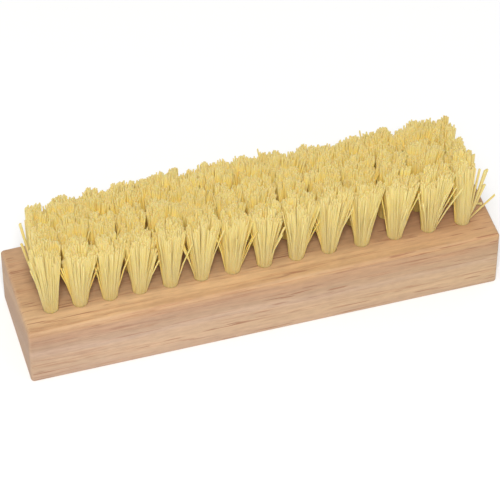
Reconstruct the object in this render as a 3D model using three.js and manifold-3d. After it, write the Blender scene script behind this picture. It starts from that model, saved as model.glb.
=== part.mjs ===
// Nail brush: a hardwood block with three rows of stiff plant-fibre tufts.
// Every tuft is doubled over a wire staple and driven into a blind hole drilled in the block's face.
// Millimetres, +Z up. The brush lies on its back, bristles upward.
// The origin is the centre of the back face, +X runs along the block and -Y is its front long side.

import * as THREE from 'three';
import { mergeVertices } from 'three/addons/utils/BufferGeometryUtils.js';
import Module from 'manifold-3d';

const wasm = await Module();
wasm.setup();

// Block
const BLOCK_LENGTH = 100;
const BLOCK_WIDTH = 25;
const BLOCK_HEIGHT = 14;
const CORNER_RADIUS = 0.8; // upright corners
const FACE_EDGE_RADIUS = 0.9; // edges round the bristle face
const BACK_EDGE_RADIUS = 0.5; // edges round the back

// Drilling
const TUFTS_PER_ROW = 14;
const END_MARGIN = 6.2; // block end to the first and last holes
const SIDE_MARGIN = 6.25; // long edge to the outer rows
const PITCH_GROWTH = 1.22; // last gap between holes over the first one
const HOLE_DIAMETER = 3.4;
const HOLE_SIDES = 10;
const FLOOR_THICKNESS = 5; // wood below the hole floors

// Bristles
const TRIM_HEIGHT = 16.5; // face to the longest cut tips
const TRIM_SCATTER = 1.1; // how far the other tips fall short of it
const TUFT_CLEARANCE = 0.1; // tuft to hole wall and hole floor
const TIP_GAP = 0.4; // between the spread tips of neighbouring tufts
const TIP_FULLNESS = 0.64; // share of its room that a strand fills at the tip
const TIP_SWAY = 0.12; // how far a tip strays to the side
const TIP_SQUARENESS = 0.6; // 0 where tufts stay round, 1 where their neighbours press them square
const OUTER_SPLAY = 0.8; // how far the outermost tufts lean out at their tips
const OUTER_ROW_SPOKES = 8; // outer strands round a tuft of the front and back rows
const MIDDLE_ROW_SPOKES = 6; // and round a tuft of the middle row

// Staples
const WIRE_THICKNESS = 0.6;
const STAPLE_SETBACK = 0.3; // outside of a leg to the hole's rim
const BACK_COVER = 2; // wood between the leg tips and the back
const STAPLE_CLEARANCE = 0.1;

// Slice of the block's wood at the hole floors, which the tufts of one row stand on
const SLICE_THICKNESS = 1;

const faceZ = BLOCK_HEIGHT;
const floorZ = FLOOR_THICKNESS;
const rootZ = floorZ + TUFT_CLEARANCE;
const sliceTopZ = rootZ + SLICE_THICKNESS;
const crownZ = sliceTopZ + STAPLE_CLEARANCE;
const crownTopZ = crownZ + WIRE_THICKNESS;
const holeRadius = HOLE_DIAMETER / 2;
const tuftRadius = holeRadius * Math.cos(Math.PI / HOLE_SIDES) - TUFT_CLEARANCE;
const stapleSpan = HOLE_DIAMETER - 2 * STAPLE_SETBACK;
const legSpacing = stapleSpan - 2 * WIRE_THICKNESS;
const sliceWidth = legSpacing - 2 * STAPLE_CLEARANCE;

const material = {
  wood: new THREE.MeshStandardMaterial({ color: 0xd3a67c, roughness: 0.62, metalness: 0 }),
  fibre: new THREE.MeshStandardMaterial({ color: 0xe4cd86, roughness: 0.7, metalness: 0 }),
  wire: new THREE.MeshStandardMaterial({ color: 0xb4b6b8, roughness: 0.35, metalness: 1 }),
};

// Places of the holes
const rowSpacing = BLOCK_WIDTH / 2 - SIDE_MARGIN;
const rows = [
  { name: 'front', side: -1, spokes: OUTER_ROW_SPOKES },
  { name: 'middle', side: 0, spokes: MIDDLE_ROW_SPOKES },
  { name: 'back', side: 1, spokes: OUTER_ROW_SPOKES },
].map((row, index) => ({ ...row, index, y: row.side * rowSpacing }));

const lastHole = TUFTS_PER_ROW - 1;
const drilledLength = BLOCK_LENGTH - 2 * END_MARGIN;
const firstPitch = (2 * drilledLength) / (lastHole * (1 + PITCH_GROWTH));
const pitchStep = (firstPitch * (PITCH_GROWTH - 1)) / (lastHole - 1);

// The gaps between holes grow evenly from the first to the last.
const holeXs = Array.from({ length: TUFTS_PER_ROW }, (_, n) => (
  -drilledLength / 2 + n * firstPitch + (pitchStep * n * (n - 1)) / 2
));

// How far the tips of tuft n reach to its left and right: half way to the next tuft, less the gap.
function tipReach(n) {
  const pitchAfter = (k) => holeXs[k + 1] - holeXs[k];
  const halfOf = (pitch) => (pitch - TIP_GAP) / 2;
  return {
    left: halfOf(pitchAfter(Math.max(n - 1, 0))),
    right: halfOf(pitchAfter(Math.min(n, lastHole - 1))),
    across: halfOf(rowSpacing),
  };
}

// Solids
function solidOf(geometry) {
  const bare = geometry.clone();
  bare.deleteAttribute('normal');
  bare.deleteAttribute('uv');
  const merged = mergeVertices(bare, 1e-5);
  return new wasm.Manifold(new wasm.Mesh({
    numProp: 3,
    vertProperties: new Float32Array(merged.attributes.position.array),
    triVerts: new Uint32Array(merged.index.array),
  }));
}

function geometryOf(solid) {
  const made = solid.getMesh();
  const geometry = new THREE.BufferGeometry();
  geometry.setAttribute('position', new THREE.BufferAttribute(made.vertProperties, 3));
  geometry.setIndex(new THREE.BufferAttribute(made.triVerts, 1));
  const flat = geometry.toNonIndexed();
  flat.computeVertexNormals();
  return flat;
}

function box(lowX, highX, lowY, highY, lowZ, highZ) {
  const geometry = new THREE.BoxGeometry(highX - lowX, highY - lowY, highZ - lowZ);
  geometry.translate((lowX + highX) / 2, (lowY + highY) / 2, (lowZ + highZ) / 2);
  return geometry;
}

// A closed skin of triangles over rings of points, each ring counter-clockwise seen from above.
class Skin {
  constructor() {
    this.points = [];
    this.triangles = [];
  }

  add(point) {
    return this.points.push(point) - 1;
  }

  wall(lower, upper) {
    lower.forEach((a, k) => {
      const next = (k + 1) % lower.length;
      this.triangles.push(a, lower[next], upper[next], a, upper[next], upper[k]);
    });
  }

  lid(ring, facesUp) {
    for (let k = 1; k + 1 < ring.length; k++) {
      const [b, c] = facesUp ? [ring[k], ring[k + 1]] : [ring[k + 1], ring[k]];
      this.triangles.push(ring[0], b, c);
    }
  }

  geometry() {
    const geometry = new THREE.BufferGeometry().setFromPoints(this.points);
    geometry.setIndex(this.triangles);
    return geometry;
  }
}

// Block: outlines with round corners stacked up its height, then drilled
function blockOutline({ inset, z }) {
  const stepsPerCorner = 3;
  const centreX = BLOCK_LENGTH / 2 - inset - CORNER_RADIUS;
  const centreY = BLOCK_WIDTH / 2 - inset - CORNER_RADIUS;
  const corners = [[1, 1], [-1, 1], [-1, -1], [1, -1]];
  return corners.flatMap(([signX, signY], k) => {
    const start = (k * Math.PI) / 2;
    const arc = new THREE.EllipseCurve(
      signX * centreX, signY * centreY, CORNER_RADIUS, CORNER_RADIUS, start, start + Math.PI / 2);
    return arc.getPoints(stepsPerCorner).map((p) => new THREE.Vector3(p.x, p.y, z));
  });
}

function roundedBlock() {
  const edgeSteps = 3;
  const turns = Array.from({ length: edgeSteps + 1 }, (_, k) => (k / edgeSteps) * (Math.PI / 2));
  const backEdge = turns.map((turn) => ({
    inset: BACK_EDGE_RADIUS * (1 - Math.sin(turn)),
    z: BACK_EDGE_RADIUS * (1 - Math.cos(turn)),
  }));
  const faceEdge = turns.map((turn) => ({
    inset: FACE_EDGE_RADIUS * (1 - Math.cos(turn)),
    z: faceZ - FACE_EDGE_RADIUS * (1 - Math.sin(turn)),
  }));
  const skin = new Skin();
  const rings = [...backEdge, ...faceEdge].map((level) => blockOutline(level).map((p) => skin.add(p)));
  skin.lid(rings[0], false);
  rings.slice(1).forEach((upper, k) => skin.wall(rings[k], upper));
  skin.lid(rings[rings.length - 1], true);
  return skin.geometry();
}

function holeCutter(x, y) {
  const overrun = 1; // the drill starts above the face
  const length = faceZ + overrun - floorZ;
  const geometry = new THREE.CylinderGeometry(holeRadius, holeRadius, length, HOLE_SIDES);
  geometry.rotateX(Math.PI / 2);
  geometry.translate(x, y, floorZ + length / 2);
  return geometry;
}

// The two places where the legs of a staple stand in the wood.
function legCutters(x, y) {
  const halfThickness = WIRE_THICKNESS / 2 + STAPLE_CLEARANCE;
  const inner = legSpacing / 2 - STAPLE_CLEARANCE;
  const outer = stapleSpan / 2 + STAPLE_CLEARANCE;
  const lowZ = BACK_COVER - STAPLE_CLEARANCE;
  const highZ = floorZ + STAPLE_CLEARANCE;
  return [
    box(x - halfThickness, x + halfThickness, y + inner, y + outer, lowZ, highZ),
    box(x - halfThickness, x + halfThickness, y - outer, y - inner, lowZ, highZ),
  ];
}

// The room of a row's slice of wood, from its first hole to its last.
function sliceCutter(y) {
  const halfWidth = sliceWidth / 2 + TUFT_CLEARANCE;
  const highZ = sliceTopZ + TUFT_CLEARANCE;
  return box(holeXs[0], holeXs[lastHole], y - halfWidth, y + halfWidth, floorZ, highZ);
}

function drilledBlock() {
  const cutters = rows.flatMap(({ y }) => [
    sliceCutter(y),
    ...holeXs.flatMap((x) => [holeCutter(x, y), ...legCutters(x, y)]),
  ]);
  const whole = solidOf(roundedBlock());
  return geometryOf(cutters.reduce((solid, cutter) => solid.subtract(solidOf(cutter)), whole));
}

// Repeatable scatter between 0 and 1 for a strand of tuft n in a row
function scatter(row, n, strand) {
  const wave = Math.sin(row.index * 127.1 + n * 311.7 + strand * 74.7) * 43758.5453;
  return wave - Math.floor(wave);
}

// One tuft: a bundle that fills its hole and parts into strands at the face.
// Spokes divide its mouth into outer strands, and pairs of spokes into inner strands.
// Neighbouring strands share only the edge where they part, and spread away from it.
function tuftSkin(row, n) {
  const { spokes, y } = row;
  const x = holeXs[n];
  const reach = tipReach(n);
  const leanX = OUTER_SPLAY * (x / holeXs[lastHole]) ** 3;
  const leanY = OUTER_SPLAY * row.side;
  const twist = 2 * Math.PI * scatter(row, n, 0);
  const innerShare = 0.5; // radius where the inner strands end, over the tuft's
  const skin = new Skin();

  const ring = (radius, z) => Array.from({ length: spokes }, (_, k) => {
    const angle = twist + (2 * Math.PI * k) / spokes;
    return skin.add(new THREE.Vector3(x + radius * Math.cos(angle), y + radius * Math.sin(angle), z));
  });

  // Where a point of the mouth comes to when the tuft has spread over its share of the field.
  const spread = (point) => {
    const offset = new THREE.Vector2(point.x - x, point.y - y);
    const angle = offset.angle();
    const toSquare = 1 / Math.max(Math.abs(Math.cos(angle)), Math.abs(Math.sin(angle)));
    const shareX = (offset.x / tuftRadius) * toSquare ** TIP_SQUARENESS;
    const shareY = (offset.y / tuftRadius) * toSquare ** TIP_SQUARENESS;
    return new THREE.Vector2(
      x + leanX + shareX * (shareX < 0 ? reach.left : reach.right),
      y + leanY + shareY * reach.across,
    );
  };

  // A strand over its part of the mouth, drawn in at the tip towards the middle of the corners it keeps to.
  const strand = (number, base, keptTo = base) => {
    const height = TRIM_HEIGHT - TRIM_SCATTER * scatter(row, n, 3 * number + 1);
    const sway = new THREE.Vector2(
      TIP_SWAY * (2 * scatter(row, n, 3 * number + 2) - 1),
      TIP_SWAY * (2 * scatter(row, n, 3 * number + 3) - 1),
    );
    const spreadOf = (corners) => corners.map((i) => spread(skin.points[i]));
    const middle = spreadOf(keptTo).reduce((sum, p) => sum.add(p)).divideScalar(keptTo.length);
    const tip = spreadOf(base).map((p) => {
      const corner = p.lerp(middle, 1 - TIP_FULLNESS).add(sway);
      return skin.add(new THREE.Vector3(corner.x, corner.y, faceZ + height));
    });
    skin.wall(base, tip);
    skin.lid(tip, true);
  };

  const root = ring(tuftRadius, rootZ);
  const mouth = ring(tuftRadius, faceZ);
  const inner = ring(tuftRadius * innerShare, faceZ);
  const centre = skin.add(new THREE.Vector3(x, y, faceZ));
  skin.lid(root, false);
  skin.wall(root, mouth);
  for (let k = 0; k < spokes; k++) {
    const next = (k + 1) % spokes;
    const rim = [mouth[k], mouth[next]];
    strand(k, [...rim, inner[next], inner[k]], rim);
  }
  for (let k = 0; k < spokes; k += 2) {
    const afterNext = (k + 2) % spokes;
    strand(spokes + k / 2, [centre, inner[k], inner[k + 1], inner[afterNext]]);
  }
  return skin.geometry();
}

// The slot that parts the doubled bundle round its staple.
function stapleSlot(x, y) {
  const halfThickness = WIRE_THICKNESS / 2 + STAPLE_CLEARANCE;
  const highZ = crownTopZ + STAPLE_CLEARANCE;
  return box(x - halfThickness, x + halfThickness, y - holeRadius, y + holeRadius, floorZ, highZ);
}

// A row of tufts, which stand on one slice of wood
function bristleRow(row) {
  const halfWidth = sliceWidth / 2;
  const endX = tuftRadius / 2; // the slice ends inside the first and last tufts
  const slice = box(
    holeXs[0] - endX, holeXs[lastHole] + endX, row.y - halfWidth, row.y + halfWidth, rootZ, sliceTopZ);
  const tufts = holeXs.map((x, n) => (
    solidOf(tuftSkin(row, n)).subtract(solidOf(stapleSlot(x, row.y)))
  ));
  return geometryOf(tufts.reduce((solid, tuft) => solid.add(tuft), solidOf(slice)));
}

// Staple: a U of wire, its crown across the fold of the tuft and its legs in the wood
function stapleGeometry() {
  const halfSpan = stapleSpan / 2;
  const halfSpacing = legSpacing / 2;
  const legLength = crownTopZ - BACK_COVER;
  const outline = new THREE.Shape([
    new THREE.Vector2(-halfSpan, 0),
    new THREE.Vector2(-halfSpan, -legLength),
    new THREE.Vector2(-halfSpacing, -legLength),
    new THREE.Vector2(-halfSpacing, -WIRE_THICKNESS),
    new THREE.Vector2(halfSpacing, -WIRE_THICKNESS),
    new THREE.Vector2(halfSpacing, -legLength),
    new THREE.Vector2(halfSpan, -legLength),
    new THREE.Vector2(halfSpan, 0),
  ]);
  const geometry = new THREE.ExtrudeGeometry(outline, { depth: WIRE_THICKNESS, bevelEnabled: false });
  geometry.translate(0, 0, -WIRE_THICKNESS / 2);
  geometry.rotateX(Math.PI / 2);
  geometry.rotateZ(Math.PI / 2);
  return geometry;
}

// Assembly
const brush = new THREE.Group();

function place(name, geometry, look, position = [0, 0, 0]) {
  const mesh = new THREE.Mesh(geometry, look);
  mesh.name = name;
  mesh.position.set(...position);
  brush.add(mesh);
}

place('block', drilledBlock(), material.wood);
rows.forEach((row) => {
  place(`bristle_row_${row.name}`, bristleRow(row), material.fibre);
  holeXs.forEach((x, n) => {
    const number = String(n + 1).padStart(2, '0');
    place(`staple_${row.name}_${number}`, stapleGeometry(), material.wire, [x, row.y, crownTopZ]);
  });
});

export default brush;
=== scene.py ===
import bpy
import bmesh
import numpy as np
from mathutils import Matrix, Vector


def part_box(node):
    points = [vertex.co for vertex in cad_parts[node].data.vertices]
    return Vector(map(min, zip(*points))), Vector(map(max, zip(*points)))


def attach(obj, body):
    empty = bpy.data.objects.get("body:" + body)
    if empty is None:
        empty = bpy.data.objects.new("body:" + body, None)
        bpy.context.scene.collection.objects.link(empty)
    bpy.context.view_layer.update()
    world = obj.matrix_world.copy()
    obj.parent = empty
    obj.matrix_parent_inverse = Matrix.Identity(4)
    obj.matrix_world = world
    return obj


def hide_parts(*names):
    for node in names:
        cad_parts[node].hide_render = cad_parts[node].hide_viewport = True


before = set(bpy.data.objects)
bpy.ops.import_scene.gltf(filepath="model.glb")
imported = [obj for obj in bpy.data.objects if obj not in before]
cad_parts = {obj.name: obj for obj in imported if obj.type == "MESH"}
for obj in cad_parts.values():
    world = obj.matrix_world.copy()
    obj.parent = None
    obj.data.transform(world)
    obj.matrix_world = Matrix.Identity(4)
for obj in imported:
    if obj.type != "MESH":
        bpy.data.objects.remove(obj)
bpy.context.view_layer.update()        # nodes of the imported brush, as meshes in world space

mm = 0.001
rowNames = ("front", "middle", "back")
blockHigh = np.array(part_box("block")[1])
faceHeight = blockHigh[2]        # the drilled face
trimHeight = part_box("bristle_row_middle")[1][2] - faceHeight
print("frame loaded:", len(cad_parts), "nodes")


# middle of every staple's box, which is the middle of its hole, as an array (row, tuft, x and y)
def holeCentres():
    spots = []
    for row in rowNames:
        names = sorted(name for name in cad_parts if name.startswith("staple_" + row))
        boxes = np.array([[tuple(corner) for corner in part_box(name)] for name in names])
        spots.append(boxes.mean(axis=1)[:, :2])
    return np.array(spots)


holes = holeCentres()
tuftsPerRow = holes.shape[1]


# puts whole arrays into a mesh: points (n, 3), then any number of face arrays (faces, corners)
def meshFromArrays(name, points, *faceSets):
    corners = np.concatenate([faces.ravel() for faces in faceSets]).astype(np.int32)
    sizes = np.concatenate([np.full(len(faces), faces.shape[1]) for faces in faceSets])
    starts = np.concatenate([[0], np.cumsum(sizes)[:-1]]).astype(np.int32)
    mesh = bpy.data.meshes.new(name)
    mesh.vertices.add(len(points))
    mesh.vertices.foreach_set("co", points.astype(np.float32).ravel())
    mesh.loops.add(len(corners))
    mesh.loops.foreach_set("vertex_index", corners)
    mesh.polygons.add(len(starts))
    mesh.polygons.foreach_set("loop_start", starts)
    mesh.update(calc_edges=True)
    mesh.validate()
    return mesh


# quads between neighbours on a grid of point numbers (rows, columns), joined round in the columns if asked
def gridFaces(numbers, closed=False):
    ahead = np.roll(numbers, -1, axis=-1) if closed else numbers[..., 1:]
    here = numbers if closed else numbers[..., :-1]
    quads = [here[..., :-1, :], ahead[..., :-1, :], ahead[..., 1:, :], here[..., 1:, :]]
    return np.stack(quads, axis=-1).reshape(-1, 4)


# one number for each point, read by a material
def addAttribute(mesh, name, values):
    layer = mesh.attributes.new(name, "FLOAT", "POINT")
    layer.data.foreach_set("value", np.asarray(values, dtype=np.float32).ravel())


def addPiece(mesh, material, replaced):
    piece = bpy.data.objects.new(mesh.name, mesh)
    bpy.context.scene.collection.objects.link(piece)
    mesh.materials.append(material)
    mesh.polygons.foreach_set("use_smooth", np.ones(len(mesh.polygons), dtype=bool))
    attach(piece, "root")
    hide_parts(*replaced)
    return piece


# node helpers: a socket given as an input is linked, anything else is its value
def addNode(tree, kind, inputs=None, **settings):
    made = tree.nodes.new(kind)
    for key, value in settings.items():
        setattr(made, key, value)
    for key, value in (inputs or {}).items():
        if isinstance(value, bpy.types.NodeSocket):
            tree.links.new(value, made.inputs[key])
        else:
            made.inputs[key].default_value = value
    return made


def newMaterial(name):
    material = bpy.data.materials.new(name)
    material.use_nodes = True
    return material, material.node_tree, material.node_tree.nodes["Principled BSDF"]


def calc(tree, operation, first, second=0.0, third=0.0, clamp=False):
    inputs = {0: first, 1: second, 2: third}
    return addNode(tree, "ShaderNodeMath", inputs, operation=operation, use_clamp=clamp).outputs[0]


# 0 at the first value, 1 at the second, straight between them
def shareOf(tree, value, start, end):
    inputs = {"Value": value, "From Min": start, "From Max": end}
    return addNode(tree, "ShaderNodeMapRange", inputs).outputs[0]


# 1 near the middle of an axis, falling to 0 between two distances from it
def fadeOut(tree, axis, span):
    return shareOf(tree, calc(tree, "ABSOLUTE", axis), span[1], span[0])


def attribute(tree, name):
    return addNode(tree, "ShaderNodeAttribute", attribute_name=name).outputs["Fac"]


# object coordinates in millimetres
def placeInMm(tree):
    place = addNode(tree, "ShaderNodeTexCoord").outputs["Object"]
    return addNode(tree, "ShaderNodeVectorMath", {0: place, 3: 1 / mm}, operation="SCALE").outputs[0]


# stops are pairs of place and colour, or of place and grey
def ramp(tree, factor, stops, smooth="LINEAR"):
    made = addNode(tree, "ShaderNodeValToRGB", {"Fac": factor})
    made.color_ramp.interpolation = smooth
    while len(made.color_ramp.elements) < len(stops):
        made.color_ramp.elements.new(1.0)
    for element, (place, colour) in zip(made.color_ramp.elements, stops):
        element.position = place
        element.color = colour if isinstance(colour, tuple) else (colour, colour, colour, 1.0)
    return made.outputs["Color"]


def mixColour(tree, blend, factor, first, second):
    inputs = {0: factor, 6: first, 7: second}
    return addNode(tree, "ShaderNodeMix", inputs, data_type="RGBA", blend_type=blend).outputs[2]


# noise drawn out along the block: scale is in waves for each millimetre along x, y and z
def grainNoise(tree, place, scale, detail, offset=0.0):
    drawn = addNode(tree, "ShaderNodeMapping", {"Vector": place, "Scale": scale, "Location": (offset,) * 3})
    made = addNode(tree, "ShaderNodeTexNoise",
                   {"Vector": drawn.outputs[0], "Scale": 1.0, "Detail": detail, "Roughness": 0.6})
    return made.outputs["Fac"]


# screen colour 0 to 255 as the linear colour that a shader takes
def tint(red, green, blue):
    share = np.array([red, green, blue]) / 255
    linear = np.where(share > 0.04045, ((share + 0.055) / 1.055) ** 2.4, share / 12.92)
    return (*linear.tolist(), 1.0)


# the block: a straight wooden bar with three rows of blind holes
wood = {
    "edge": 0.7 * mm,            # rounding of the long edges and corners
    "backEdge": 0.4 * mm,        # rounding round the back
    "beside": 0.2 * mm,          # last line of points before a rounding
    "wear": 0.55,                # how far the edge is sanded towards a flat, at most
    "lip": 0.08 * mm,            # broken edge of each hole
    "holeRadius": 1.6 * mm,
    "holeFloor": 5.0 * mm,
    "pointsASide": 8,            # points on each side of a hole's cell
    "cornerSteps": 6,
    "weld": 0.002 * mm,          # points closer than this become one
    "sliver": 0.001 * mm,
    "grainTilt": 0.35,           # rise of the growth layers across the block
    "layerDepth": 23.0,          # from the lowest layer to the highest, in millimetres
    "layerSway": 4.5,            # how far the layers wander, in millimetres
    "fineSway": 1.6,
    "lineShare": 0.4,            # strength of the long lines, pores, greyer ends and paler edges
    "poreShare": 0.75,
    "endShare": 0.55,
    "edgeShare": 0.08,
    "endSkin": 0.5,              # the ends turn greyer over this depth, in millimetres
    "shadeFrom": 12.0,            # the painted shade on the wood among the tufts starts at this height
    "rowsFade": (6.2, 8.8),      # and ends here, in millimetres across
    "lengthFade": (45.0, 47.5),  # and here along
}


# cut lines between the holes, from one end of the flat to the other
def cellCuts(middles, half):
    return np.concatenate([[-half], (middles[1:] + middles[:-1]) / 2, [half]])


# points along all cells of one side, each cell cut into equal steps
def sidePoints(cuts, steps):
    share = np.arange(steps) / steps
    inner = cuts[:-1, None] + np.diff(cuts)[:, None] * share
    return np.append(inner.ravel(), cuts[-1])


# face with holes: in each cell the rings run from the cell's four sides in to the hole's circle, where they
# turn over the lip and go down the wall, so a point is (1 - t) * circle + t * side, then radius and depth
def drilledFace(xCuts, yCuts):
    steps = wood["pointsASide"]
    share = np.arange(steps) / steps
    zero = np.zeros(steps)
    square = np.concatenate([np.stack([share, zero], 1), np.stack([zero + 1, share], 1),
                             np.stack([1 - share, zero + 1], 1), np.stack([zero, 1 - share], 1)])
    low = np.stack(np.meshgrid(xCuts[:-1], yCuts[:-1]), -1)[:, :, None]
    high = np.stack(np.meshgrid(xCuts[1:], yCuts[1:]), -1)[:, :, None]
    sides = low + square * (high - low)
    angle = 2 * np.pi * np.arange(4 * steps) / (4 * steps) - 0.75 * np.pi
    circle = np.stack([np.cos(angle), np.sin(angle)], -1)
    centre = holes[:, :, None]

    reach = np.array([1.0, 0.93, 0.72, 0.4, 0.12, 0.0])          # from the cell's side to the lip
    rim = centre + circle * (wood["holeRadius"] + wood["lip"])
    flat = reach[:, None, None] * sides[:, :, None] + (1 - reach[:, None, None]) * rim[:, :, None]
    turn = np.linspace(0, np.pi / 2, 4)[1:]
    lipRadius = wood["holeRadius"] + wood["lip"] * (1 - np.sin(turn))
    lipZ = faceHeight - wood["lip"] * (1 - np.cos(turn))
    wallZ = [faceHeight - 1 * mm, wood["holeFloor"] + 1 * mm, wood["holeFloor"]]
    radius = np.concatenate([lipRadius, [wood["holeRadius"]] * len(wallZ)])
    depth = np.concatenate([lipZ, wallZ])
    down = centre[:, :, None] + circle * radius[:, None, None]
    flatZ = np.full(flat.shape[:-1] + (1,), faceHeight)
    downZ = np.broadcast_to(depth[:, None, None], down.shape[:-1] + (1,))
    points = np.concatenate([np.concatenate([flat, flatZ], -1), np.concatenate([down, downZ], -1)], axis=2)
    numbers = np.arange(points[..., 0].size).reshape(points.shape[:-1])
    return points.reshape(-1, 3), gridFaces(numbers, closed=True), numbers[:, :, -1].reshape(-1, 4 * steps)


# sides of the block: a profile of (distance out, height) carried round the flat's rectangle, whose corners
# turn on the spot; wear mixes the edge's arc with its chord by a slow wave along the path
def blockSides(xs, ys, half):
    corner = np.linspace(0, np.pi / 2, wood["cornerSteps"] + 1)[1:-1]
    paths, outs = [], []
    for side, (run, level) in enumerate(((xs, half[1]), (ys, half[0]), (xs, half[1]), (ys, half[0]))):
        heading = side * np.pi / 2
        ahead = np.array([np.cos(heading), np.sin(heading)])
        out = np.array([ahead[1], -ahead[0]])
        ordered = run if side < 2 else -run[::-1]
        paths.append(ordered[:, None] * ahead + level * out)
        outs.append(np.tile(out, (len(run), 1)))
        turning = heading - np.pi / 2 + corner
        paths.append(np.tile(paths[-1][-1], (len(corner), 1)))
        outs.append(np.stack([np.cos(turning), np.sin(turning)], -1))
    path, out = np.concatenate(paths), np.concatenate(outs)

    along = path[:, :1] / mm
    wave = 0.3 * np.sin(along * 0.21 + 1) + 0.2 * np.sin(along * 0.57 + path[:, 1:] / mm)
    worn = wood["wear"] * (0.5 + wave)           # from 0 to the full wear
    turn = np.linspace(0, np.pi / 2, wood["cornerSteps"] + 1)
    chord = turn / (np.pi / 2)
    edge, back = wood["edge"], wood["backEdge"]
    topOut = edge * ((1 - worn) * np.sin(turn) + worn * chord)
    topZ = faceHeight - edge * ((1 - worn) * (1 - np.cos(turn)) + worn * chord)
    side = np.linspace(faceHeight - edge, back, 9)[1:-1]
    side = np.concatenate([[faceHeight - edge - wood["beside"]], side, [back + wood["beside"]]])
    lowOut = edge - back + back * np.cos(turn)
    lowZ = back - back * np.sin(turn)
    count = len(path)
    base = np.zeros((count, 1))
    far = np.concatenate([topOut, np.full((count, len(side)), edge), np.tile(lowOut, (count, 1)), base], 1)
    height = np.concatenate([topZ, np.tile(side, (count, 1)), np.tile(lowZ, (count, 1)), base], 1)
    flatXY = path[:, None] + far[..., None] * out[:, None]
    points = np.concatenate([flatXY, height[..., None]], -1).transpose(1, 0, 2)
    numbers = np.arange(points[..., 0].size).reshape(points.shape[:-1])
    return points.reshape(-1, 3), gridFaces(numbers, closed=True)


# back of the block: a plain grid over the same cut lines
def blockBack(xs, ys):
    x, y = np.meshgrid(xs, ys)
    points = np.stack([x, y, np.zeros_like(x)], -1)
    return points.reshape(-1, 3), gridFaces(np.arange(x.size).reshape(x.shape))


# joins the points that face, sides and back share, and counts the edges left open
def closeSeams(mesh):
    closer = bmesh.new()
    closer.from_mesh(mesh)
    bmesh.ops.remove_doubles(closer, verts=closer.verts, dist=wood["weld"])
    bmesh.ops.dissolve_degenerate(closer, edges=closer.edges, dist=wood["sliver"])
    bmesh.ops.recalc_face_normals(closer, faces=closer.faces)
    openEdges = sum(not edge.is_manifold for edge in closer.edges)
    closer.to_mesh(mesh)
    closer.free()
    return openEdges


def buildBlock(material):
    half = blockHigh[:2] - wood["edge"]
    xCuts = cellCuts(holes[1, :, 0], half[0])
    yCuts = cellCuts(holes[:, 0, 1], half[1])
    xs = sidePoints(xCuts, wood["pointsASide"])
    ys = sidePoints(yCuts, wood["pointsASide"])
    face, faceQuads, floors = drilledFace(xCuts, yCuts)
    sides, sideQuads = blockSides(xs, ys, half)
    back, backQuads = blockBack(xs, ys)
    points = np.concatenate([face, sides, back])
    quads = np.concatenate([faceQuads, sideQuads + len(face), backQuads + len(face) + len(sides)])
    mesh = meshFromArrays("wooden_block", points, quads, floors)
    openEdges = closeSeams(mesh)
    place = np.empty(len(mesh.vertices) * 3, dtype=np.float32)
    mesh.vertices.foreach_get("co", place)
    place = place.reshape(-1, 3)
    beyond = np.stack([np.abs(place[:, 0]) - half[0], np.abs(place[:, 1]) - half[1],
                       np.abs(place[:, 2] - faceHeight / 2) - faceHeight / 2 + wood["edge"]], -1)
    share = np.sort(np.clip(beyond / wood["edge"], 0, 1), axis=1)
    addAttribute(mesh, "easedEdge", share[:, 1])                 # 1 where two faces meet
    addPiece(mesh, material, ["block"])
    print("block:", len(mesh.polygons), "faces,", openEdges, "open edges")
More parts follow.
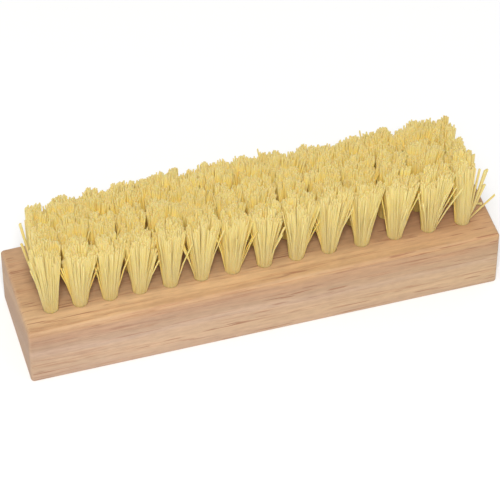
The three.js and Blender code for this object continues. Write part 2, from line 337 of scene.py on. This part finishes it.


# wood: growth layers tilted across the block give the broad bands, drawn-out noise gives fibre streaks
# and short dark pores, the ends turn greyer, the eased edges paler, and painted shade darkens the wood
# among the tufts
def blockWood():
    material, tree, shader = newMaterial("sanded_hardwood")
    place = placeInMm(tree)
    axes = addNode(tree, "ShaderNodeSeparateXYZ", {0: place}).outputs
    halfLength, halfWidth = (blockHigh[:2] / mm).tolist()
    sway = calc(tree, "SUBTRACT", grainNoise(tree, place, (0.022, 0.06, 0.06), 2.0), 0.5)
    fineSway = calc(tree, "SUBTRACT", grainNoise(tree, place, (0.05, 0.5, 0.5), 2.0, 7.0), 0.5)
    layer = calc(tree, "MULTIPLY_ADD", axes[1], wood["grainTilt"], axes[2])
    layer = calc(tree, "MULTIPLY_ADD", sway, wood["layerSway"], layer)
    layer = calc(tree, "MULTIPLY_ADD", fineSway, wood["fineSway"], layer)
    lowest = -wood["grainTilt"] * halfWidth
    depth = shareOf(tree, layer, lowest, lowest + wood["layerDepth"])
    bands = ramp(tree, depth, [
        (0.00, tint(194, 162, 135)),
        (0.16, tint(204, 171, 138)),
        (0.27, tint(201, 168, 137)),
        (0.33, tint(201, 169, 142)),
        (0.40, tint(189, 156, 126)),
        (0.47, tint(190, 153, 122)),
        (0.53, tint(194, 154, 120)),
        (0.585, tint(200, 159, 118)),
        (0.66, tint(222, 183, 137)),
        (0.72, tint(215, 175, 129)),
        (0.80, tint(203, 162, 120)),
        (0.90, tint(205, 165, 124)),
        (1.00, tint(197, 157, 121)),
    ], "EASE")

    along = shareOf(tree, axes[0], -halfLength, halfLength)
    leftEnd = ramp(tree, along, [        # duller towards the left end
        (0.00, tint(236, 235, 238)),
        (0.15, tint(246, 248, 254)),
        (0.50, tint(243, 243, 243)),
        (1.00, tint(242, 243, 237)),
    ])
    bands = mixColour(tree, "MULTIPLY", 1.0, bands, leftEnd)
    rightFace = ramp(tree, along, [      # layers of the face turn redder to the right
        (0.60, tint(255, 255, 255)),
        (0.85, tint(240, 231, 236)),
        (1.00, tint(236, 226, 232)),
    ])
    upper = ramp(tree, depth, [(0.58, 0.0), (0.66, 1.0)])
    bands = mixColour(tree, "MULTIPLY", upper, bands, rightFace)

    streak = grainNoise(tree, place, (0.07, 1.3, 1.3), 6.0, 3.0)
    streakTone = ramp(tree, streak, [(0.25, 0.85), (0.5, 0.97), (0.75, 1.07)])
    colour = mixColour(tree, "MULTIPLY", 1.0, bands, streakTone)
    fleck = grainNoise(tree, place, (0.4, 1.6, 1.6), 4.0, 31.0)
    fleckTone = ramp(tree, fleck, [(0.3, 0.9), (0.5, 0.99), (0.7, 1.07)])
    colour = mixColour(tree, "MULTIPLY", 1.0, colour, fleckTone)
    longLine = grainNoise(tree, place, (0.03, 1.1, 1.1), 3.0, 11.0)
    lineMask = ramp(tree, longLine, [(0.57, 0.0), (0.61, 1.0), (0.65, 0.0)])
    lineMask = calc(tree, "MULTIPLY", lineMask, wood["lineShare"])
    colour = mixColour(tree, "MULTIPLY", lineMask, colour, tint(206, 160, 138))
    pore = grainNoise(tree, place, (0.1, 2.1, 2.1), 1.5, 19.0)
    cluster = grainNoise(tree, place, (0.03, 0.22, 0.22), 2.0, 23.0)
    inPore = ramp(tree, pore, [(0.61, 0.0), (0.65, 1.0)])
    inCluster = ramp(tree, cluster, [(0.46, 0.15), (0.56, 1.0)])
    poreMask = calc(tree, "MULTIPLY", inPore, inCluster)
    poreTone = calc(tree, "MULTIPLY", poreMask, wood["poreShare"])
    colour = mixColour(tree, "MIX", poreTone, colour, tint(146, 99, 72))

    endward = calc(tree, "SUBTRACT", calc(tree, "ABSOLUTE", axes[0]), halfLength - wood["endSkin"])
    endward = calc(tree, "DIVIDE", endward, wood["endSkin"], clamp=True)
    endMask = calc(tree, "MULTIPLY", endward, wood["endShare"])
    colour = mixColour(tree, "MIX", endMask, colour, tint(183, 152, 126))
    eased = calc(tree, "MULTIPLY", attribute(tree, "easedEdge"), wood["edgeShare"])
    colour = mixColour(tree, "MIX", eased, colour, tint(226, 188, 150))
    # painted shade: the wood among the tufts is darkened where the tufts shade it
    inRows = fadeOut(tree, axes[1], wood["rowsFade"])
    inLength = fadeOut(tree, axes[0], wood["lengthFade"])
    onFace = calc(tree, "SUBTRACT", axes[2], wood["shadeFrom"], clamp=True)
    shadeAmongTufts = calc(tree, "MULTIPLY", calc(tree, "MULTIPLY", inRows, inLength), onFace)
    colour = mixColour(tree, "MULTIPLY", shadeAmongTufts, colour, tint(229, 225, 225))
    tree.links.new(colour, shader.inputs["Base Color"])

    tree.links.new(calc(tree, "MULTIPLY_ADD", streak, 0.22, 0.52), shader.inputs["Roughness"])
    shader.inputs["Specular IOR Level"].default_value = 0.3
    relief = calc(tree, "SUBTRACT", calc(tree, "MULTIPLY", streak, 0.6), poreMask)
    bump = addNode(tree, "ShaderNodeBump", {"Height": relief, "Strength": 0.35, "Distance": 0.06 * mm})
    tree.links.new(bump.outputs[0], shader.inputs["Normal"])
    return material


buildBlock(blockWood())


# the tufts: bundles of stiff fibre packed into each hole and fanning out above the face
tuft = {
    "fibres": 490,               # in each tuft
    "rimPower": 0.46,            # 0.5 would spread them evenly, less crowds them at the rim
    "rootRadius": 0.1 * mm,      # of one fibre, which swells a little towards its cut end
    "tipRadius": 0.185 * mm,
    "swellPower": 0.6,
    "girth": (0.88, 1.15),       # each fibre's own thickness
    "sides": 4,
    "levels": np.array([-1.0, 0.0, 0.5, 1.0]),   # share of the height, below 0 is the root in the hole
    "bundleRadius": 1.48 * mm,   # bundle where it leaves the hole
    "rootDepth": 3.0 * mm,       # how far the drawn fibres reach into the hole
    "meetNext": (1.0, 1.02, 1.18),               # share of the gap that a row's tips fill
    "fanAcross": 2.6 * mm,       # half width of the fan across the rows
    "leftEnd": (3.6 * mm, 2.1 * mm, 1.2 * mm),   # free side of each row's first tuft
    "rightEnd": (2.1 * mm, 2.1 * mm, 1.3 * mm),  # and of its last one
    "rowLean": 0.2 * mm,         # outer rows lean outwards this far at the tips
    "lean": 0.6 * mm,            # neighbours meet this far past halfway, some more and some less
    "leanUneven": 0.5 * mm,
    "leanMost": 0.4,             # share of half the gap
    "squareness": (0.45, 0.45, 0.7),             # each row's fans, from round to square
    "spotUneven": 0.02,          # spread of a fibre's spot in the bundle
    "locks": 20,                 # fibres stick together in locks
    "lockHold": 0.36,            # how far a fibre's tip is drawn to its lock, less in the middle
    "lockShift": 0.55 * mm,
    "lockTone": 0.55,            # share of a fibre's tone that is its lock's
    "dome": 1.6 * mm,            # rim of a tuft below its middle, which stands at the trim line
    "endDrop": 0.9 * mm,         # first and last tufts of a row are worn lower
    "cornerLean": 1.6 * mm,      # but the front row's stand full and lean back
    "backTrim": np.array([-1.2, -1.5, -1.2, -1.4, 0.2, 0.0, 0.1,
                          -0.3, -0.1, -1.2, -1.4, -0.1, -0.3, 0.3]) * mm,       # outline of the back row
    "tuftUneven": 0.3 * mm,      # spread of heights by tuft, lock and fibre
    "lockUneven": 1.1 * mm,
    "fibreUneven": 0.5 * mm,
    "overTrim": 0.55 * mm,       # shears leave no fibre higher than this, and no lock twice as high
    "tipScatter": 0.15 * mm,
    "slantUneven": 0.5,          # how far askew the tips are cut
    "bow": 0.06 * mm,
    "flare": (1.25, 1.1, 0.8),   # power of each row's outward curve
    "flareUneven": (0.92, 1.08),
    "strays": 6,                 # fibres in each tuft that stand off
    "strayFrom": 0.7,            # they come from the outer spots
    "strayPush": (1.2, 1.7),     # and reach this much further
    "strayCrop": (0.75, 1.0),
    "looseGirth": 1.7,
    "openFrom": (-0.1, 0.7),     # spots where the painted shade fades out towards the open side
    "seed": 41,
}

# fibres that stand well clear: row, tuft, then reach along and across and height above the face
loose = (
    ("front", 13, 6.6, -0.6, 6.1),
    ("front", 13, 4.5, 0.3, 8.8),
    ("front", 13, 4.7, 0.1, 13.3),
    ("front", 13, 4.3, 0.0, 13.2),
    ("front", 13, 3.1, 0.1, 13.8),
    ("middle", 0, -3.3, 3.0, 16.0),
    ("middle", 0, -3.5, 1.9, 11.4),
    ("middle", 13, 4.9, -4.4, 1.6),
)


# spread over a disc, closer near its rim: radius is a power of the rank, each turns on by the golden angle
def sunflower(count):
    rank = np.arange(count) + 0.5
    angle = rank * np.pi * (3 - np.sqrt(5))
    radius = (rank / count) ** tuft["rimPower"]
    return radius[:, None] * np.stack([np.cos(angle), np.sin(angle)], -1)


# the same spots turned by one angle for each tuft: (spot, xy) and (tuft) give (tuft, spot, xy)
def turned(spots, angle):
    c, s = np.cos(angle)[:, None], np.sin(angle)[:, None]
    return np.stack([c * spots[:, 0] - s * spots[:, 1], s * spots[:, 0] + c * spots[:, 1]], -1)


# tubes: each ring is path + radius * (cos a * sideways + sin a * across), square to the path, with a cap at
# both ends; paths are (fibre, level, xyz) and radius is (fibre, level)
def fibreTubes(name, paths, radius, slant, phase):
    sides = tuft["sides"]
    tangent = np.gradient(paths, axis=1)
    tangent /= np.linalg.norm(tangent, axis=-1, keepdims=True)
    angle = phase[:, None] + 2 * np.pi * np.arange(sides) / sides
    across = np.cross(tangent, np.array([1.0, 0.0, 0.0]))
    across /= np.linalg.norm(across, axis=-1, keepdims=True)
    sideways = np.cross(across, tangent)
    ring = (np.cos(angle)[:, None, :, None] * sideways[:, :, None]
            + np.sin(angle)[:, None, :, None] * across[:, :, None])
    points = paths[:, :, None] + radius[:, :, None, None] * ring
    cut = radius[:, -1:] * slant[:, None] * np.cos(angle)
    points[:, -1] += cut[..., None] * tangent[:, -1, None]       # tips are cut a little askew
    numbers = np.arange(points[..., 0].size).reshape(points.shape[:-1])
    caps = np.concatenate([numbers[:, 0, ::-1], numbers[:, -1]])
    return meshFromArrays(name, points.reshape(-1, 3), gridFaces(numbers, closed=True), caps)


# where a row's fibres end, seen from above: a spot times the half width of the fan on its side, mixed with
# the tip of its lock
def fibreTips(rng, rowNumber, spot, lockSpot, lock):
    halfGap = np.diff(holes[rowNumber, :, 0]) / 2
    most = tuft["leanMost"] * halfGap
    lean = rng.normal(tuft["lean"], tuft["leanUneven"], len(halfGap)).clip(-most, most)
    meetNext = tuft["meetNext"][rowNumber]
    leftFan = np.concatenate([[tuft["leftEnd"][rowNumber]], (halfGap - lean) * meetNext])[:, None]
    rightFan = np.concatenate([(halfGap + lean) * meetNext, [tuft["rightEnd"][rowNumber]]])[:, None]

    def fanned(spots):           # a disc's spots on the fan, drawn out a little towards a square
        size = np.linalg.norm(spots, axis=-1, keepdims=True) + 1e-9
        stretch = size / np.abs(spots).max(axis=-1, keepdims=True).clip(1e-9)
        spots = spots * stretch ** tuft["squareness"][rowNumber]
        along = np.where(spots[..., 0] < 0, leftFan, rightFan) * spots[..., 0]
        across = tuft["fanAcross"] * spots[..., 1] + (rowNumber - 1) * tuft["rowLean"]
        return np.stack([along, across], -1)

    lockTip = fanned(lockSpot) + rng.normal(0, tuft["lockShift"], lockSpot.shape)
    drawnTo = np.take_along_axis(lockTip, lock[..., None], axis=1)
    hold = tuft["lockHold"] * np.linalg.norm(spot, axis=-1, keepdims=True).clip(0, 1)
    tip = fanned(spot) * (1 - hold) + drawnTo * hold
    tip += rng.normal(0, tuft["tipScatter"], tip.shape)
    if rowNames[rowNumber] == "front":
        tip[[0, -1], :, 1] += tuft["cornerLean"]
    return tip


# heights above the face: the trim line, less the dome times the spot's radius squared, uneven by lock, tuft
# and fibre
def fibreHeights(rng, row, spot, lockSpot, lock):
    lockLift = rng.normal(0, tuft["lockUneven"], lockSpot.shape[:2]).clip(max=2 * tuft["overTrim"])
    height = trimHeight + np.take_along_axis(lockLift, lock, axis=1)
    height -= tuft["dome"] * (spot ** 2).sum(axis=-1)
    height += rng.normal(0, tuft["tuftUneven"], (tuftsPerRow, 1))
    height += rng.normal(0, tuft["fibreUneven"], lock.shape).clip(max=tuft["overTrim"])
    if row != "front":
        height[[0, -1]] -= tuft["endDrop"]
    if row == "back":
        height += tuft["backTrim"][:, None]
    return height


# a few outer fibres of each tuft: the tip is pushed out and the height cropped by a factor each
def standOff(rng, tip, height):
    rim = int(tuft["strayFrom"] * tuft["fibres"])
    pick = rng.integers(rim, tuft["fibres"], (tuftsPerRow, tuft["strays"]))
    push = np.ones(height.shape)
    np.put_along_axis(push, pick, rng.uniform(*tuft["strayPush"], pick.shape), axis=1)
    push[[0, -1]] = 1            # the ends have their loose fibres instead
    cropped = np.ones(height.shape)
    np.put_along_axis(cropped, pick, rng.uniform(*tuft["strayCrop"], pick.shape), axis=1)
    tip *= push[..., None]
    height *= cropped


# share of painted shade: 0 on the open sides of the brush, 1 towards the other tufts, straight between
def shadeShareOf(rowNumber, spot):
    facing = (rowNumber - 1) * spot[..., 1]      # 1 at the rim on the open side
    facing[0] = np.maximum(facing[0], -spot[0, :, 0])
    facing[-1] = np.maximum(facing[-1], spot[-1, :, 0])
    low, high = tuft["openFrom"]
    return ((high - facing) / (high - low)).clip(0, 1)


# one row: a fibre starts at a spot in its hole's bundle and ends at its tip; between them it goes out by
# h^p, h being the share of its height, plus a slight bow
def growRow(rowNumber, material):
    rng = np.random.default_rng(tuft["seed"] + rowNumber)
    row = rowNames[rowNumber]
    shape = (tuftsPerRow, tuft["fibres"])
    angle = rng.uniform(0, 2 * np.pi, tuftsPerRow)
    spot = turned(sunflower(tuft["fibres"]), angle) + rng.normal(0, tuft["spotUneven"], shape + (2,))
    lockSpot = turned(sunflower(tuft["locks"]), angle + 1)
    lock = np.linalg.norm(spot[:, :, None] - lockSpot[:, None], axis=-1).argmin(axis=-1)
    tip = fibreTips(rng, rowNumber, spot, lockSpot, lock)
    height = fibreHeights(rng, row, spot, lockSpot, lock)
    power = tuft["flare"][rowNumber] * rng.uniform(*tuft["flareUneven"], shape)
    girth = rng.uniform(*tuft["girth"], shape)
    standOff(rng, tip, height)
    for number, (looseRow, which, along, across, tall) in enumerate(loose):
        if looseRow == row:
            one = (which, -1 - number)
            reach = np.array([along, across]) * mm
            spot[one] = reach / np.linalg.norm(reach)
            tip[one] = reach
            height[one] = tall * mm
            power[one] = 1.0
            girth[one] = tuft["looseGirth"]

    level = tuft["levels"]
    share = level.clip(0, 1)
    out = share ** power[..., None]
    start = spot * tuft["bundleRadius"]
    bow = rng.normal(0, tuft["bow"], shape + (2,))
    swing = bow[:, :, None] * np.sin(np.pi * share)[:, None]
    centre = holes[rowNumber][:, None, None]
    plan = centre + start[:, :, None] + (tip - start)[:, :, None] * out[..., None] + swing
    rise = faceHeight + np.where(level < 0, -tuft["rootDepth"], share * height[..., None])
    paths = np.concatenate([plan, rise[..., None]], -1).reshape(-1, len(level), 3)
    slant = rng.normal(0, tuft["slantUneven"], len(paths))
    phase = rng.uniform(0, 2 * np.pi, len(paths))
    swell = tuft["rootRadius"] + (tuft["tipRadius"] - tuft["rootRadius"]) * share ** tuft["swellPower"]
    mesh = fibreTubes("bristles_" + row, paths, girth.reshape(-1, 1) * swell, slant, phase)

    lockTone = np.take_along_axis(rng.uniform(0, 1, lockSpot.shape[:2]), lock, axis=1)
    tone = tuft["lockTone"] * lockTone + (1 - tuft["lockTone"]) * rng.uniform(0, 1, shape)
    pointsEach = len(level) * tuft["sides"]
    addAttribute(mesh, "fibreTone", np.repeat(tone.ravel(), pointsEach))
    addAttribute(mesh, "upFibre", np.tile(np.repeat(share, tuft["sides"]), tone.size))
    # painted shade: fibres towards the other tufts get the deeper gold of light bounced among the fibres
    addAttribute(mesh, "fibreShade", np.repeat(shadeShareOf(rowNumber, spot).ravel(), pointsEach))
    addPiece(mesh, material, ["bristle_row_" + row])
    print("bristles", row + ":", tone.size, "fibres,", len(mesh.polygons), "faces")


# dry fibre: painted shade makes it deeper gold between the rows than on the open sides; creamy at the cut
# tip, each fibre of its own tone, faintly mottled
def plantFibre():
    material, tree, shader = newMaterial("plant_fibre")
    place = placeInMm(tree)
    upFibre = attribute(tree, "upFibre")
    openSide = ramp(tree, upFibre, [
        (0.0, tint(213, 192, 131)),
        (0.3, tint(215, 196, 134)),
        (0.75, tint(216, 196, 127)),
        (1.0, tint(224, 205, 137)),
    ])
    # painted shade: deeper gold below the tip, for the fibres between the rows
    between = ramp(tree, upFibre, [
        (0.0, tint(240, 213, 120)),
        (0.8, tint(243, 216, 116)),
        (0.95, tint(231, 208, 125)),
        (1.0, tint(224, 205, 137)),
    ])
    colour = mixColour(tree, "MIX", attribute(tree, "fibreShade"), openSide, between)
    toned = ramp(tree, attribute(tree, "fibreTone"), [
        (0.0, tint(247, 241, 228)),
        (0.4, tint(252, 250, 246)),
        (1.0, tint(255, 255, 255)),
    ])
    colour = mixColour(tree, "MULTIPLY", 1.0, colour, toned)
    mottle = grainNoise(tree, place, (1.6, 1.6, 0.5), 3.0, 5.0)
    colour = mixColour(tree, "MULTIPLY", 0.5, colour, ramp(tree, mottle, [(0.3, 0.9), (0.7, 1.0)]))
    tree.links.new(colour, shader.inputs["Base Color"])
    tree.links.new(calc(tree, "MULTIPLY_ADD", mottle, 0.3, 0.4), shader.inputs["Roughness"])
    shader.inputs["Specular IOR Level"].default_value = 0.05
    shader.inputs["Sheen Weight"].default_value = 0.6
    shader.inputs["Sheen Roughness"].default_value = 0.5
    shader.inputs["Sheen Tint"].default_value = tint(250, 230, 160)
    shader.inputs["Subsurface Weight"].default_value = 0.8       # some light passes through a fibre
    shader.inputs["Subsurface Radius"].default_value = (0.5, 0.65, 1.0)
    shader.inputs["Subsurface Scale"].default_value = 0.15 * mm
    ripple = grainNoise(tree, place, (9.0, 9.0, 0.7), 2.0, 9.0)
    bump = addNode(tree, "ShaderNodeBump", {"Height": ripple, "Strength": 0.15, "Distance": 0.03 * mm})
    tree.links.new(bump.outputs[0], shader.inputs["Normal"])
    return material


fibre = plantFibre()
for rowNumber in range(len(rowNames)):
    growRow(rowNumber, fibre)


# staples: the CAD wires stay, with the look of drawn steel
def drawnWire():
    material, tree, shader = newMaterial("drawn_steel_wire")
    drawLines = grainNoise(tree, placeInMm(tree), (12.0, 1.2, 1.2), 3.0)
    colour = ramp(tree, drawLines, [(0.3, tint(150, 152, 154)), (0.7, tint(205, 206, 207))])
    tree.links.new(colour, shader.inputs["Base Color"])
    shader.inputs["Metallic"].default_value = 1.0
    tree.links.new(calc(tree, "MULTIPLY_ADD", drawLines, 0.25, 0.25), shader.inputs["Roughness"])
    return material


wire = drawnWire()
staples = [node for name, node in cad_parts.items() if name.startswith("staple_")]
for staple in staples:
    staple.data.materials.clear()
    staple.data.materials.append(wire)
print("staples:", len(staples))


# pale floor, white surroundings and two large soft lights
studio = {
    "floorSize": 4.0,
    "floorDrop": 0.02 * mm,      # keeps the floor clear of the block's back
    "surround": 0.55,
    "keyPower": 10.5,
    "keyPlace": (-0.2, -0.69, 0.955),
    "keySize": 0.3,
    "fillPower": 0.6,
    "fillPlace": (-0.8, -0.2, 0.7),
    "fillSize": 0.8,
    "bounces": 20,               # light reaches down between the fibres
    "diffuseBounces": 16,
}


def paleFloor():
    material, tree, shader = newMaterial("pale_floor")
    place = addNode(tree, "ShaderNodeTexCoord").outputs["Object"]
    cloud = addNode(tree, "ShaderNodeTexNoise", {"Vector": place, "Scale": 3.0, "Detail": 3.0})
    tone = ramp(tree, cloud.outputs["Fac"], [(0.3, tint(246, 246, 245)), (0.7, tint(250, 250, 249))])
    tree.links.new(tone, shader.inputs["Base Color"])
    shader.inputs["Roughness"].default_value = 0.9
    side = np.array([-1.0, 1.0]) * studio["floorSize"] / 2
    x, y = np.meshgrid(side, side)
    points = np.stack([x, y, np.full_like(x, -studio["floorDrop"])], -1).reshape(-1, 3)
    mesh = meshFromArrays("floor", points, gridFaces(np.arange(4).reshape(2, 2)))
    mesh.materials.append(material)
    floor = bpy.data.objects.new("floor", mesh)
    bpy.context.scene.collection.objects.link(floor)


def softLight(name):
    lamp = bpy.data.lights.new(name, "AREA")
    lamp.energy = studio[name + "Power"]
    lamp.size = studio[name + "Size"]
    light = bpy.data.objects.new(name, lamp)
    light.location = studio[name + "Place"]
    light.rotation_euler = (-light.location).to_track_quat("-Z", "Y").to_euler()
    bpy.context.scene.collection.objects.link(light)


def whiteSurround():
    world = bpy.data.worlds.new("white_surround")
    world.use_nodes = True
    background = world.node_tree.nodes["Background"]
    background.inputs["Color"].default_value = (1.0, 1.0, 1.0, 1.0)
    background.inputs["Strength"].default_value = studio["surround"]
    bpy.context.scene.world = world
    bpy.context.scene.view_settings.view_transform = "Standard"
    bpy.context.scene.cycles.max_bounces = studio["bounces"]
    bpy.context.scene.cycles.diffuse_bounces = studio["diffuseBounces"]


paleFloor()
softLight("key")
softLight("fill")
whiteSurround()
print("floor and lights ready")

# the photograph's view: turned left of the front and looking down on the bristles
view = {
    "aim": (1.45 * mm, 5.5 * mm, 5.69 * mm),
    "azimuth": -16.39,           # degrees, 0 looks along +Y
    "elevation": 46.21,
    "distance": 605.5 * mm,
    "lens": 208.4,
    "sensor": 36.0,
    "nearest": 10 * mm,
}


def placeCamera():
    turn, tilt = np.radians([view["azimuth"], view["elevation"]])
    away = Vector((np.sin(turn) * np.cos(tilt), -np.cos(turn) * np.cos(tilt), np.sin(tilt)))
    lens = bpy.data.cameras.new("camera")
    lens.lens = view["lens"]
    lens.sensor_width = view["sensor"]
    lens.clip_start = view["nearest"]
    camera = bpy.data.objects.new("camera", lens)
    camera.location = Vector(view["aim"]) + away * view["distance"]
    camera.rotation_euler = (-away).to_track_quat("-Z", "Y").to_euler()
    bpy.context.scene.collection.objects.link(camera)
    bpy.context.scene.camera = camera


placeCamera()
print("camera ready")
